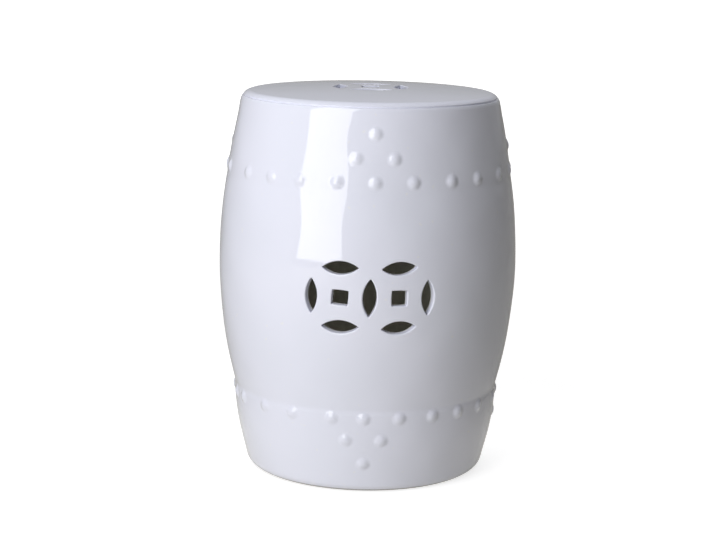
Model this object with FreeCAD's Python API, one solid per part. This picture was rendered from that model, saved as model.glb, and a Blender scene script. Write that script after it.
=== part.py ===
import FreeCAD, Part
import math
import os

# Ceramic garden stool, in millimetres. +Z is up and the front faces -Y.
# The origin is the centre of the standing face, on the floor.
# Azimuths are in degrees from the front, positive towards +X.

# Outline of the barrel, as sharp corners before they are rounded
shoulder_height = 453.5
shoulder_edge_radius = 151.9
seat_crown = 6.0
belly_radius = 179.4
belly_height = 253.3
belly_arc_radius = 596.0
foot_edge_radius = 140.8

# The upper and lower bands, which are straighter than the belly
upper_band_height = 97.3
upper_band_bow = 1.5
lower_band_height = 98.1
lower_band_bow = 3.6
lower_band_proud = 1.4
ledge_slope_height = 5.0

# Roundings
shoulder_round = 13.5
foot_round = 15.0
ceiling_round = 6.0
floor_round = 5.0

# Clay thicknesses
wall_thickness = 10.0
seat_thickness = 12.0
seat_rim_depth = 18.0
seat_lip = 0.4

# Standing foot
foot_turn_in = 9.0
foot_ring_width = 26.0

# Double coin piercing in the front
coin_height = 238.0
coin_pitch = 68.0
lens_length = 42.5
lens_width = 15.0
square_side = 17.8

# Coin piercing in the seat, which is the finger hold
seat_coin_pitch = 72.0
seat_lens_length = 50.0
seat_lens_width = 16.0
seat_square_side = 20.0

# Sprigged bosses
boss_count = 24
boss_radius = 6.8
boss_rise = 2.4
upper_row_above_ledge = 10.8
upper_pair_rise = 26.2
upper_apex_rise = 27.3
lower_row_below_ledge = 5.2
lower_pair_drop = 26.2
lower_apex_drop = 29.0
upper_pattern_turn = 1.5
lower_pattern_turn = -1.4

# Azimuths of the clusters of three bosses, which are not quite evenly spaced
cluster_sides = {"front": 0.0, "right": 95.0, "back": 180.0, "left": -105.0}

# How far single bosses slipped round when they were pressed on, in degrees, by their number in the row
upper_slips = {3: 1.4, 5: 1.0, 6: 1.4, 20: -4.0, 21: 1.7, 22: 1.2}
lower_slips = {4: -1.5, 5: -2.0, 21: -5.0, 22: -2.2, 23: -1.5, 24: 1.5}

# Worked-out places
upper_ledge_height = shoulder_height - upper_band_height
boss_pitch = 360.0 / boss_count
foot_seam_radius = foot_edge_radius - foot_round - foot_turn_in
foot_hole_radius = foot_seam_radius - foot_ring_width
seam_height = shoulder_height - seat_rim_depth
seat_radius = shoulder_edge_radius - seat_lip
cutter_margin = 20.0

up = FreeCAD.Vector(0, 0, 1)
origin = FreeCAD.Vector(0, 0, 0)


def profile_point(radius, z):
    """A point of the profile, drawn in the plane y = 0."""
    return FreeCAD.Vector(radius, 0, z)


def belly_arc(inset):
    """Centre and radius of the belly's arc, moved inwards by inset."""
    return belly_radius - belly_arc_radius, belly_height, belly_arc_radius - inset


def bowed_arc(start, end, bow):
    """Centre and radius of the arc from start to end (each radius, z) that bows outwards by bow."""
    run_r = end[0] - start[0]
    run_z = end[1] - start[1]
    chord = math.hypot(run_r, run_z)
    arc_radius = (chord * chord / 4 + bow * bow) / (2 * bow)
    back = arc_radius - bow
    centre_r = (start[0] + end[0]) / 2 - back * run_z / chord
    centre_z = (start[1] + end[1]) / 2 + back * run_r / chord
    return centre_r, centre_z, arc_radius


def radius_on(arc, z):
    """Radius of the surface that an arc turns into, at height z."""
    centre_r, centre_z, arc_radius = arc
    return centre_r + math.sqrt(arc_radius**2 - (z - centre_z) ** 2)


def arc_edge(arc, start, end):
    """The profile's edge along an arc between two of its points."""
    middle_z = (start[1] + end[1]) / 2
    middle = profile_point(radius_on(arc, middle_z), middle_z)
    return Part.Arc(profile_point(*start), middle, profile_point(*end)).toShape()


def line_edge(start, end):
    """A straight edge of the profile."""
    return Part.LineSegment(profile_point(*start), profile_point(*end)).toShape()


def corners(inset, thickness, proud):
    """The profile's corners from the foot to the shoulder, with the wall moved inwards by inset."""
    belly = belly_arc(inset)
    below_ledge = (radius_on(belly, lower_band_height) + proud, lower_band_height)
    above_z = lower_band_height + ledge_slope_height
    above_ledge = (radius_on(belly, above_z), above_z)
    upper_ledge = (radius_on(belly, upper_ledge_height), upper_ledge_height)
    foot = (foot_edge_radius - inset, inset)
    shoulder = (shoulder_edge_radius - inset, shoulder_height - thickness)
    return foot, below_ledge, above_ledge, upper_ledge, shoulder


def barrel(inset, thickness, proud, top_round, bottom_round):
    """Solid of revolution inside the profile: the outside of the stool, or the hollow in it."""
    foot, below_ledge, above_ledge, upper_ledge, shoulder = corners(inset, thickness, proud)
    centre_top = (0, shoulder[1] + seat_crown)
    half_way = shoulder[0] / 2
    crown_radius = (shoulder[0] ** 2 + seat_crown**2) / (2 * seat_crown)
    half_way_z = centre_top[1] - crown_radius + math.sqrt(crown_radius**2 - half_way**2)
    crown = Part.Arc(profile_point(*shoulder), profile_point(half_way, half_way_z), profile_point(*centre_top))
    edges = [
        line_edge((0, foot[1]), foot),
        arc_edge(bowed_arc(foot, below_ledge, lower_band_bow), foot, below_ledge),
        line_edge(below_ledge, above_ledge),
        arc_edge(belly_arc(inset), above_ledge, upper_ledge),
        arc_edge(bowed_arc(upper_ledge, shoulder, upper_band_bow), upper_ledge, shoulder),
        crown.toShape(),
        line_edge(centre_top, (0, foot[1])),
    ]
    solid = Part.Face(Part.Wire(edges)).revolve(origin, up, 360)
    solid = solid.makeFillet(top_round, [ring_edge(solid, shoulder)])
    return solid.makeFillet(bottom_round, [ring_edge(solid, foot)])


def ring_edge(solid, corner):
    """The level circular edge that a corner of the profile turns into."""
    return min(solid.Edges, key=lambda edge: ring_miss(edge.BoundBox, corner))


def ring_miss(box, corner):
    """How far an edge's box is from that of a level circle through the corner."""
    return box.ZLength + abs(box.ZMax - corner[1]) + abs(box.XMax - corner[0])


def lens(centre, along, across, length, width):
    """The lens-shaped face between two equal arcs that meet at its tips."""
    tip_a = centre - along * (length / 2)
    tip_b = centre + along * (length / 2)
    side_a = centre + across * (width / 2)
    side_b = centre - across * (width / 2)
    arcs = [Part.Arc(tip_a, side_a, tip_b).toShape(), Part.Arc(tip_b, side_b, tip_a).toShape()]
    return Part.Face(Part.Wire(arcs))


def square(centre, along, across, side):
    """A square face."""
    half_a = along * (side / 2)
    half_b = across * (side / 2)
    ring = [centre - half_a - half_b, centre + half_a - half_b, centre + half_a + half_b, centre - half_a + half_b]
    return Part.Face(Part.makePolygon(ring + ring[:1]))


def front_cutter(sideways, above, shape, *sizes):
    """Cuts one opening of the front motif square to the wall, sideways and above its middle."""
    right = FreeCAD.Vector(1, 0, 0)
    face = shape(FreeCAD.Vector(0, 0, coin_height + above), right, up, *sizes)
    reach = belly_radius + cutter_margin
    depth = wall_thickness + 2 * cutter_margin
    face.translate(FreeCAD.Vector(0, -reach, 0))
    cutter = face.extrude(FreeCAD.Vector(0, depth, 0))
    cutter.rotate(origin, up, math.degrees(sideways / belly_radius))
    return cutter


def seat_cutter(x, y, shape, *sizes):
    """Cuts one opening of the seat's coin straight down."""
    along = FreeCAD.Vector(1, 0, 0)
    across = FreeCAD.Vector(0, 1, 0)
    bottom = shoulder_height - seat_thickness - cutter_margin
    face = shape(FreeCAD.Vector(x, y, bottom), along, across, *sizes)
    return face.extrude(up * (seat_thickness + seat_crown + 2 * cutter_margin))


def upright(centre, along, across, length, width):
    """A lens turned to stand across the first direction."""
    return lens(centre, across, along, length, width)


def double_coin():
    """Cutters of two coins side by side, which share their middle lens."""
    half = coin_pitch / 2
    cutters = [front_cutter(side, 0, upright, lens_length, lens_width) for side in (-coin_pitch, 0, coin_pitch)]
    for side in (-half, half):
        cutters += [front_cutter(side, above, lens, lens_length, lens_width) for above in (-half, half)]
        cutters.append(front_cutter(side, 0, square, square_side))
    return cutters


def seat_coin():
    """Cutters of the one coin in the middle of the seat."""
    half = seat_coin_pitch / 2
    cutters = [seat_cutter(x, 0, upright, seat_lens_length, seat_lens_width) for x in (-half, half)]
    cutters += [seat_cutter(0, y, lens, seat_lens_length, seat_lens_width) for y in (-half, half)]
    cutters.append(seat_cutter(0, 0, square, seat_square_side))
    return cutters


def boss(arc, z, azimuth):
    """A low dome that stands square to the barrel, its back shaped to the barrel's outside."""
    centre_r, centre_z, arc_radius = arc
    radius = radius_on(arc, z)
    outward = FreeCAD.Vector(radius - centre_r, 0, z - centre_z) * (1 / arc_radius)
    dome_radius = (boss_radius**2 + boss_rise**2) / (2 * boss_rise)
    centre = profile_point(radius, z) + outward * (boss_rise - dome_radius)
    dome = Part.makeSphere(dome_radius, centre).cut(outside)
    dome.rotate(origin, up, azimuth - 90)
    return dome


def cluster(arc, turn, pair_z, apex_z):
    """Three bosses in a triangle: a pair half a pitch to each side, and one in the middle."""
    places = [(pair_z, -boss_pitch / 2), (pair_z, boss_pitch / 2), (apex_z, 0)]
    return Part.makeCompound([boss(arc, z, turn + step) for z, step in places])


def save(name, shape):
    """Writes one node."""
    shape.exportStep(f"parts/{name}.step")
    print(f"{name}: {shape.Volume / 1000:.2f} cm3, {len(shape.Solids)} solid(s)")


os.makedirs("parts", exist_ok=True)

outside = barrel(0, 0, lower_band_proud, shoulder_round, foot_round)
hollow = barrel(wall_thickness, seat_thickness, 0, ceiling_round, floor_round)
shell = outside.cut(hollow)

# The room of the seat, which is let into the wall's rim and leaves a lip of it outside
seat_room = Part.makeCylinder(seat_radius, seat_rim_depth + cutter_margin, FreeCAD.Vector(0, 0, seam_height))

# The cast wall, pierced at the front and open under the foot
foot_opening = Part.makeCylinder(foot_seam_radius, wall_thickness + cutter_margin)
save("barrel_wall", shell.cut([seat_room, foot_opening] + double_coin()))

# The pressed seat, luted into the wall's rim, with the finger hold through it
save("seat_slab", shell.common(seat_room).cut(seat_coin()))

# The flat ring luted inside the turned-in foot
ring_blank = Part.makeCylinder(foot_seam_radius, wall_thickness)
save("foot_ring", ring_blank.cut(Part.makeCylinder(foot_hole_radius, wall_thickness)))

# The bosses, each row starting at the front and going round to the right
outside_corners = corners(0, 0, lower_band_proud)
lower_arc = bowed_arc(outside_corners[0], outside_corners[1], lower_band_bow)
upper_arc = bowed_arc(outside_corners[3], outside_corners[4], upper_band_bow)
upper_row_z = upper_ledge_height + upper_row_above_ledge
upper_pair_z = upper_row_z + upper_pair_rise
lower_row_z = lower_band_height - lower_row_below_ledge
lower_pair_z = lower_row_z - lower_pair_drop

for number in range(1, boss_count + 1):
    azimuth = (number - 1) * boss_pitch
    upper_turn = azimuth + upper_pattern_turn + upper_slips.get(number, 0.0)
    lower_turn = azimuth + lower_pattern_turn + lower_slips.get(number, 0.0)
    save(f"upper_boss_{number:02d}", boss(upper_arc, upper_row_z, upper_turn))
    save(f"lower_boss_{number:02d}", boss(lower_arc, lower_row_z, lower_turn))

for side, azimuth in cluster_sides.items():
    upper_turn = azimuth + upper_pattern_turn
    lower_turn = azimuth + lower_pattern_turn
    upper_apex_z = upper_pair_z + upper_apex_rise
    lower_apex_z = lower_pair_z - lower_apex_drop
    save(f"upper_cluster_{side}", cluster(upper_arc, upper_turn, upper_pair_z, upper_apex_z))
    save(f"lower_cluster_{side}", cluster(lower_arc, lower_turn, lower_pair_z, lower_apex_z))
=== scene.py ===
import math

import bpy
import numpy as np
from bpy.props import FloatProperty, FloatVectorProperty, IntProperty, PointerProperty
from mathutils import Matrix, Vector


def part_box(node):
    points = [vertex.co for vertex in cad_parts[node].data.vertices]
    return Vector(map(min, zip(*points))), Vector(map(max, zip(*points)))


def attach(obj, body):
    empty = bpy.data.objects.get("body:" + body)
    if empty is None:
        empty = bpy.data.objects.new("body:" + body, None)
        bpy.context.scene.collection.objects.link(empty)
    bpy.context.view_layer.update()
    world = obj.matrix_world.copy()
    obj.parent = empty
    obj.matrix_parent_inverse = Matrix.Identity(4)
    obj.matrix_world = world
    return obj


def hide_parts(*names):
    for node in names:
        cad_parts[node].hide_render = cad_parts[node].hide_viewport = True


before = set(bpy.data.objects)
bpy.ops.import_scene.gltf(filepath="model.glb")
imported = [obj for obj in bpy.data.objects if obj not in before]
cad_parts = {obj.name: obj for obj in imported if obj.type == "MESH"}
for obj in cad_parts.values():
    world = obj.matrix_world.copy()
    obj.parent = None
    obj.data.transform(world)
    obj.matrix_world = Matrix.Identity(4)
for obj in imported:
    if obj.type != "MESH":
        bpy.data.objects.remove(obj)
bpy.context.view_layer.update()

bl_info = {
    "name": "Glazed garden stool",
    "version": (1, 0, 0),
    "blender": (4, 5, 0),
    "location": "View3D > Sidebar > Stool",
    "description": "Builds the glazed surfaces of a pierced ceramic garden stool and the studio it stands in",
    "category": "Object",
}

# The frame's own sizes, read before anything is added to it
SEAT_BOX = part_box("seat_slab")
RING_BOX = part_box("foot_ring")
SIDES = ("front", "right", "back", "left")
BOSS_NODES = sorted(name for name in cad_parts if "_boss_" in name)


def metres(name, description, default):
    """A length that a user can set, in metres."""
    return FloatProperty(name=name, description=description, default=default, unit="LENGTH", precision=5)


def plain(name, description, default):
    """A number without a unit."""
    return FloatProperty(name=name, description=description, default=default, precision=4)


def radians(name, description, default):
    """An angle that a user can set, in radians."""
    return FloatProperty(name=name, description=description, default=default, subtype="ANGLE")


def angle(name, description, degrees):
    """The same with its default in degrees."""
    return radians(name, description, math.radians(degrees))


def colour(name, description, default):
    """A linear colour."""
    return FloatVectorProperty(
        name=name, description=description, default=default, subtype="COLOR", size=3, min=0.0, max=1.0
    )


class BarrelSizes(bpy.types.PropertyGroup):
    """The outline that the wall and the seat share, as the solids have it."""

    shoulder_height: metres("Shoulder height", "Height of the shoulder's edge before it is rounded", 0.4535)
    shoulder_edge_radius: metres("Shoulder edge radius", "Radius of that edge", 0.1519)
    belly_radius: metres("Belly radius", "Largest radius of the wall", 0.1794)
    belly_height: metres("Belly height", "Height of the largest radius", 0.2533)
    belly_arc_radius: metres("Belly arc radius", "Radius of the arc that the belly follows", 0.596)
    foot_edge_radius: metres("Foot edge radius", "Radius of the foot's edge before it is rounded", 0.1408)
    upper_band_height: metres("Upper band height", "Height of the band under the shoulder", 0.0973)
    upper_band_bow: metres("Upper band bow", "How far that band bows out", 0.0015)
    lower_band_height: metres("Lower band height", "Height of the band above the foot", 0.0981)
    lower_band_bow: metres("Lower band bow", "How far that band bows out", 0.0036)
    lower_band_proud: metres("Lower band proud", "How far its top edge stands proud of the belly", 0.0014)
    ledge_slope: metres("Ledge slope", "Height of the slope on that edge", 0.005)
    ledge_softness: metres("Ledge softness", "How far the glaze spreads past the slope", 0.003)
    crease_softness: metres("Crease softness", "Half the height of the crease under the upper band", 0.006)
    shoulder_round: metres("Shoulder rounding", "Radius of the rounded shoulder", 0.0135)
    foot_round: metres("Foot rounding", "Radius of the rounded foot", 0.015)
    ceiling_round: metres("Ceiling rounding", "Radius of the corner inside under the seat", 0.006)
    floor_round: metres("Floor rounding", "Radius of the corner inside at the foot", 0.005)
    wall_thickness: metres("Wall thickness", "Thickness of the clay wall", 0.010)
    seat_thickness: metres("Seat thickness", "Thickness of the seat", 0.012)
    foot_ring_width: metres("Foot ring width", "Width of the bare ring in the foot", 0.026)
    ring_round: metres("Ring rounding", "Radius of that ring's corners towards the hole", 0.003)
    groove_width: metres("Groove width", "Width of the groove along the seat's seam", 0.003)
    groove_depth: metres("Groove depth", "Depth of that groove in the glaze", 0.0015)
    unevenness: metres("Unevenness", "Height of a full wave in the hand-finished outside", 0.0002)


class CoinSizes(bpy.types.PropertyGroup):
    """The pierced coins in the front and in the seat."""

    coin_height: metres("Coin height", "Height of the middle of the double coin", 0.238)
    coin_pitch: metres("Coin pitch", "Distance between the two coins, and across each of them", 0.068)
    lens_length: metres("Lens length", "Length of a lens opening in the wall", 0.0425)
    lens_width: metres("Lens width", "Width of a lens opening in the wall", 0.015)
    square_side: metres("Square side", "Side of the square openings in the wall", 0.0178)
    seat_coin_pitch: metres("Seat coin pitch", "Distance across the coin in the seat", 0.072)
    seat_lens_length: metres("Seat lens length", "Length of a lens opening in the seat", 0.050)
    seat_lens_width: metres("Seat lens width", "Width of a lens opening in the seat", 0.016)
    seat_square_side: metres("Seat square side", "Side of the square opening in the seat", 0.020)
    side_round: metres("Side rounding", "Radius of the glaze along the sides of the wall's openings", 0.0019)
    end_round: metres("End rounding", "Radius of the glaze in the corners of the wall's openings", 0.001)
    seat_side_round: metres("Seat side rounding", "The same along the sides of the seat's openings", 0.0022)
    seat_end_round: metres("Seat end rounding", "The same in the corners of the seat's openings", 0.0005)
    block_half: metres("Block half", "Half the width of the block of faces round an upright lens", 0.0105)
    seat_block_half: metres("Seat block half", "Half the width of such a block in the seat", 0.0104)
    tip_round: metres("Tip rounding", "Radius of the openings' corners", 0.0009)


class BossSizes(bpy.types.PropertyGroup):
    """The pressed bosses. Their places are read from the solids that they stand for."""

    radius: metres("Boss radius", "Radius of a boss where its dome meets the wall", 0.0068)
    rise: metres("Boss rise", "Height of a boss above the wall", 0.0022)
    fillet: metres("Glaze fillet", "How deep the glaze lies in the corner round a boss", 0.0014)
    skirt: plain("Skirt", "Radius at which the glaze ends under the wall's, in boss radii", 1.5)
    back: metres("Back depth", "How far the back of a boss lies under the wall's surface", 0.0006)
    segments: IntProperty(name="Segments", description="Faces across a boss", default=14, min=6, max=40)


class GlazeLook(bpy.types.PropertyGroup):
    """The white glaze, the bare clay under it, and the painted contact shadow at the foot."""

    glaze: colour("Glaze", "Colour of the glaze", (0.785, 0.80, 0.92))
    glaze_pool: colour("Pooled glaze", "Colour of the glaze where it varies", (0.765, 0.785, 0.90))
    clay: colour("Clay", "Colour of the bare clay", (0.87, 0.86, 0.80))
    clay_dark: colour("Dark clay", "Colour of the clay's darker grains", (0.80, 0.79, 0.73))
    # Painted contact shadow: a dark colour painted on the glaze's lowest few millimetres where the stool
    # meets the floor, and the height that it reaches
    painted_contact_shadow: colour("Foot edge", "Colour of the bare edge that the stool stands on", (0.30, 0.29, 0.28))
    contact_shadow_height: metres("Edge height", "Height up to which that edge is bare", 0.0048)
    gloss: plain("Glaze roughness", "Roughness of the glaze", 0.055)
    clay_roughness: plain("Clay roughness", "Roughness of the bare clay", 0.85)
    refraction: plain("Index of refraction", "Index of refraction of the glaze", 1.5)
    wave_size: metres("Wave size", "Size of the waves in the glaze", 0.045)
    wave_depth: metres("Wave depth", "Depth of the waves in the glaze", 0.00003)
    peel_size: metres("Peel size", "Size of the fine dimples in the glaze", 0.0035)
    peel_depth: metres("Peel depth", "Depth of the fine dimples in the glaze", 0.0000012)
    speck_size: metres("Speck size", "Spacing of the glaze's faint specks", 0.006)
    grain_size: metres("Grain size", "Size of the clay's grains", 0.0012)
    grain_depth: metres("Grain depth", "Depth of the clay's grains", 0.0001)


class StudioLook(bpy.types.PropertyGroup):
    """The camera, the softbox, the surroundings and the floor."""

    camera_distance: metres("Camera distance", "Distance from the stool's axis to the camera", 2.1884)
    camera_height: metres("Camera height", "Height of the camera above the floor", 0.65474)
    camera_side: angle("Camera side", "How far the camera stands round to the left", 1.1)
    camera_pitch: radians("Camera pitch", "How far the camera is tilted down", 0.18886)
    camera_roll: radians("Camera roll", "Turn of the camera about its line of sight", 0.01816)
    camera_pan: radians("Camera pan", "Turn of the camera to the side", -0.00509)
    focal_pixels: plain("Focal length", "Focal length, in the picture's pixels", 1835.63)
    picture_width: plain("Picture width", "Width of the picture, in pixels", 716.0)
    sensor_width: plain("Sensor width", "Width of the sensor, in millimetres", 36.0)
    softbox_distance: metres("Softbox distance", "Distance from the axis to the softbox", 1.8)
    softbox_side: angle("Softbox side", "Azimuth of the middle of the softbox, to the left", 34.5)
    softbox_roll: angle("Softbox roll", "How far the softbox is rolled about its own middle", -3.5)
    softbox_tilt: angle("Softbox tilt", "How far the softbox's top leans in", 13.5)
    softbox_width: metres("Softbox width", "Width of the softbox", 1.24)
    softbox_height: metres("Softbox height", "Length of the softbox upwards", 2.5)
    softbox_middle: metres("Softbox middle", "Height of the softbox's middle", 1.25)
    softbox_power: plain("Softbox power", "Power of the softbox, in watts", 40.5)
    surround: plain("Surround", "Brightness of the room in reflections", 0.35)
    ambient_low: plain("Low ambient", "Brightness of the room as light, from all sides", 0.05)
    ambient_high: plain("High ambient", "Brightness of the room as light, from the ceiling", 2.25)
    ceiling_lean: angle("Ceiling lean", "How far the light from the ceiling leans to the back", 30.0)
    backdrop: plain("Backdrop", "Brightness of the backdrop to the camera", 1.0)
    floor_radius: metres("Floor radius", "Radius of the floor", 24.0)
    floor_colour: colour("Floor colour", "Colour of the floor as it lights the stool", (0.56, 0.545, 0.495))
    floor_shown: colour("Floor shown", "Colour of the floor to the camera, besides its glow", (0.5, 0.5, 0.5))
    floor_tint: colour("Floor tint", "Colour of what it adds to that light", (1.0, 0.98, 0.91))
    floor_core: plain("Floor core", "Brightness that it adds under the stool", 0.135)
    core_near: metres("Core near", "Radius up to which it does", 0.10)
    core_far: metres("Core far", "Radius from which it doesn't", 0.14)
    floor_ring: plain("Floor ring", "Brightness that it adds close round the stool", 0.25)
    ring_near: metres("Ring near", "Radius up to which it does", 0.2)
    ring_far: metres("Ring far", "Radius from which it doesn't", 0.4)
    floor_near: metres("Floor near", "Radius up to which the floor keeps its own light", 0.8)
    floor_far: metres("Floor far", "Radius from which the floor is white to the camera", 3.0)
    floor_glow: plain("Floor glow", "Brightness that it adds to the camera", 0.76)


class StoolSettings(bpy.types.PropertyGroup):
    """All the settings."""

    barrel: PointerProperty(type=BarrelSizes)
    coin: PointerProperty(type=CoinSizes)
    boss: PointerProperty(type=BossSizes)
    look: PointerProperty(type=GlazeLook)
    studio: PointerProperty(type=StudioLook)


# Curves of the outline

# Half of the height over which the wall's slope is measured, in metres
SLOPE_STEP = 0.00001


def smooth_step(value, start, end):
    """0 up to start, 1 from end, and between them an S that is level and unbent at both ends."""
    share = np.clip((value - start) / (end - start), 0.0, 1.0)
    return share**3 * (share * (6 * share - 15) + 10)


def spread(places, counts):
    """Values from each place to the next in equal steps, so many steps for each stretch."""
    runs = [np.linspace(a, b, n, endpoint=False) for a, b, n in zip(places, places[1:], counts)]
    return np.concatenate([*runs, places[-1:]])


def bowed_arc(start, end, bow):
    """Centre and radius of the arc from start to end that bows out of its chord by bow.

    start and end are each a radius and a height. The arc's radius is a quarter of chord squared plus bow
    squared, over 2 bow. Its centre is on the chord's normal.
    """
    run = np.subtract(end, start)
    chord = math.hypot(*run)
    radius = (chord**2 / 4 + bow**2) / (2 * bow)
    middle = np.add(start, end) / 2
    inward = np.array([-run[1], run[0]]) / chord
    centre = middle + inward * (radius - bow)
    return centre[0], centre[1], radius


def radius_on(arc, z):
    """Radius at heights z of the surface that an arc turns into round the axis.

    Out from the centre it lies the root of the arc's radius squared less the height over the centre squared.
    """
    return arc[0] + np.sqrt(np.maximum(arc[2] ** 2 - (z - arc[1]) ** 2, 0.0))


def rounding_rows(centre, radius, lean):
    """Rows on a rounding: its centre plus its radius times the cosine and sine of the lean, and the lean."""
    return np.stack([centre[0] + radius * np.cos(lean), centre[1] + radius * np.sin(lean), lean], -1)


class Outline:
    """The turned outline of the clay: its outside, or the hollow in it a wall's thickness further in."""

    def __init__(self, sizes, inside):
        inset = sizes.wall_thickness if inside else 0.0
        self.sizes = sizes
        self.floor = inset
        self.foot_rounding = sizes.floor_round if inside else sizes.foot_round
        self.top_rounding = sizes.ceiling_round if inside else sizes.shoulder_round
        self.ledge = sizes.lower_band_height
        self.crease = sizes.shoulder_height - sizes.upper_band_height
        self.belly = (
            sizes.belly_radius - sizes.belly_arc_radius,
            sizes.belly_height,
            sizes.belly_arc_radius - inset,
        )
        proud = 0.0 if inside else sizes.lower_band_proud
        top = sizes.shoulder_height - (sizes.seat_thickness if inside else 0.0)
        foot = (sizes.foot_edge_radius - inset, inset)
        under_ledge = (radius_on(self.belly, self.ledge) + proud, self.ledge)
        crease = (radius_on(self.belly, self.crease), self.crease)
        shoulder = (sizes.shoulder_edge_radius - inset, top)
        self.lower = bowed_arc(foot, under_ledge, sizes.lower_band_bow)
        self.upper = bowed_arc(crease, shoulder, sizes.upper_band_bow)
        crown = SEAT_BOX[1].z - sizes.shoulder_height
        dome = (shoulder[0] ** 2 + crown**2) / (2 * crown)
        self.crown = (0.0, top + crown - dome, dome)
        self.place_foot_rounding()
        self.place_top_rounding()

    def place_foot_rounding(self):
        """Centre of the foot's rounding: as far above the floor as inside the lower band's arc."""
        arc = self.lower
        rounding = self.foot_rounding
        height = self.floor + rounding
        reach = math.sqrt((arc[2] - rounding) ** 2 - (height - arc[1]) ** 2)
        self.foot_centre = (arc[0] + reach, height)
        self.foot_lean = math.atan2(height - arc[1], reach)
        self.foot_top = height + rounding * math.sin(self.foot_lean)

    def place_top_rounding(self):
        """Centre of the shoulder's rounding: where the upper band's arc and the crown's meet.

        Both are first moved in by the rounding's own radius.
        """
        a = np.array(self.upper[:2])
        b = np.array(self.crown[:2])
        reach_a = self.upper[2] - self.top_rounding
        reach_b = self.crown[2] - self.top_rounding
        gap = b - a
        apart = math.hypot(*gap)
        along = (reach_a**2 - reach_b**2 + apart**2) / (2 * apart)
        off = math.sqrt(reach_a**2 - along**2)
        foot = a + gap * along / apart
        side = np.array([-gap[1], gap[0]]) * off / apart
        self.top_centre = max(foot + side, foot - side, key=lambda point: point[0])
        to_wall = self.top_centre - a
        to_crown = self.top_centre - b
        self.wall_lean = math.atan2(to_wall[1], to_wall[0])
        self.crown_lean = math.atan2(to_crown[1], to_crown[0])
        self.crown_edge = to_crown[0] / reach_b * self.crown[2]

    def radius(self, z):
        """Radius of the wall: the belly's arc, and past a soft step at each end the bands' arcs."""
        sizes = self.sizes
        belly = radius_on(self.belly, z)
        step_low = self.ledge - sizes.ledge_softness
        step_high = self.ledge + sizes.ledge_slope + sizes.ledge_softness
        low = 1 - smooth_step(z, step_low, step_high)
        high = smooth_step(z, self.crease - sizes.crease_softness, self.crease + sizes.crease_softness)
        return belly + low * (radius_on(self.lower, z) - belly) + high * (radius_on(self.upper, z) - belly)

    def wall(self, z):
        """Rows of the wall at heights z, as radius, height and lean of the surface's normal above level."""
        slope = (self.radius(z + SLOPE_STEP) - self.radius(z - SLOPE_STEP)) / (2 * SLOPE_STEP)
        return np.stack([self.radius(z), z, np.arctan2(-slope, 1.0)], -1)

    def foot(self, count):
        """Rows of the foot's rounding, from the wall down to the floor."""
        lean = np.linspace(self.foot_lean, -math.pi / 2, count + 1)
        return rounding_rows(self.foot_centre, self.foot_rounding, lean)

    def top(self, count):
        """Rows of the top's rounding, from the wall up to the crown."""
        lean = np.linspace(self.wall_lean, self.crown_lean, count + 1)
        return rounding_rows(self.top_centre, self.top_rounding, lean)

    def shoulder(self, seat):
        """Rows of the outside's rounding, up to the seat's seam for the wall, or from it for the seat.

        The groove along the seam is sunk by its depth times the square of 1 less the squared distance from
        the seam in half widths, and the rows lean by the slope of that.
        """
        seam = math.acos((SEAT_BOX[1].x - self.top_centre[0]) / self.top_rounding)
        half = self.sizes.groove_width / 2 / self.top_rounding
        places = [seam, seam + half, self.crown_lean] if seat else [self.wall_lean, seam - half, seam]
        lean = spread(places, SEAT_SHOULDER_STEPS if seat else WALL_SHOULDER_STEPS)
        away = np.clip((lean - seam) / half, -1, 1)
        depth = self.sizes.groove_depth * (1 - away**2) ** 2
        slope = 4 * self.sizes.groove_depth * away * (1 - away**2) / (half * self.top_rounding)
        rows = rounding_rows(self.top_centre, self.top_rounding, lean)
        rows[:, 0] -= depth * np.cos(lean)
        rows[:, 1] -= depth * np.sin(lean)
        rows[:, 2] -= np.arctan(slope)
        return rows

    def crown_rows(self, radius):
        """Rows on the crowned top: a cap of a large sphere, whose lean has radius over dome as its cosine."""
        lean = np.arccos(radius / self.crown[2])
        return np.stack([radius, self.crown[1] + self.crown[2] * np.sin(lean), lean], -1)

    def floor_rows(self, radius):
        """Rows on the level floor, whose normal points straight down."""
        return np.stack([radius, np.full_like(radius, self.floor), np.full_like(radius, -math.pi / 2)], -1)


# The barrel's slight unevenness: for each wave its share of a full one, how many go round the barrel,
# by how many radians it turns for each metre up, and where it starts
WAVES = (
    (0.9, 2, 9.0, 0.4),
    (0.7, 3, -14.0, 2.1),
    (0.6, 5, 23.0, 1.2),
    (0.5, 9, -41.0, 3.9),
    (0.6, 13, 62.0, 5.0),
    (0.3, 17, -78.0, 0.9),
)

# Heights between which the unevenness comes in above the foot, and fades out at the shoulder
EVEN_FOOT = (0.004, 0.030)
EVEN_TOP = (0.4255, 0.4435)


def unevenness(turn, z, amount):
    """A sum of sine waves round and up the barrel, each less 1, with its slopes by turn and by height.

    It fades out at the shoulder and the foot, and lies inwards throughout.
    """
    fade = smooth_step(z, *EVEN_FOOT) * (1 - smooth_step(z, *EVEN_TOP))
    lift, by_turn, by_height = np.zeros((3, *np.broadcast(turn, z).shape))
    for share, round_count, rise, start in WAVES:
        phase = round_count * turn + rise * z + start
        lift = lift + share * (np.sin(phase) - 1)
        by_turn = by_turn + share * round_count * np.cos(phase)
        by_height = by_height + share * rise * np.cos(phase)
    return amount * fade * lift, amount * fade * by_turn, amount * fade * by_height


def outward(turn):
    """Level directions away from the axis at the azimuths turn, of which 0 is the front, -Y."""
    return np.stack([np.sin(turn), -np.cos(turn), 0 * turn], -1)


def rightward(turn):
    """Level directions to the right along the wall at those azimuths, as seen from outside."""
    return np.stack([np.cos(turn), np.sin(turn), 0 * turn], -1)


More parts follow.
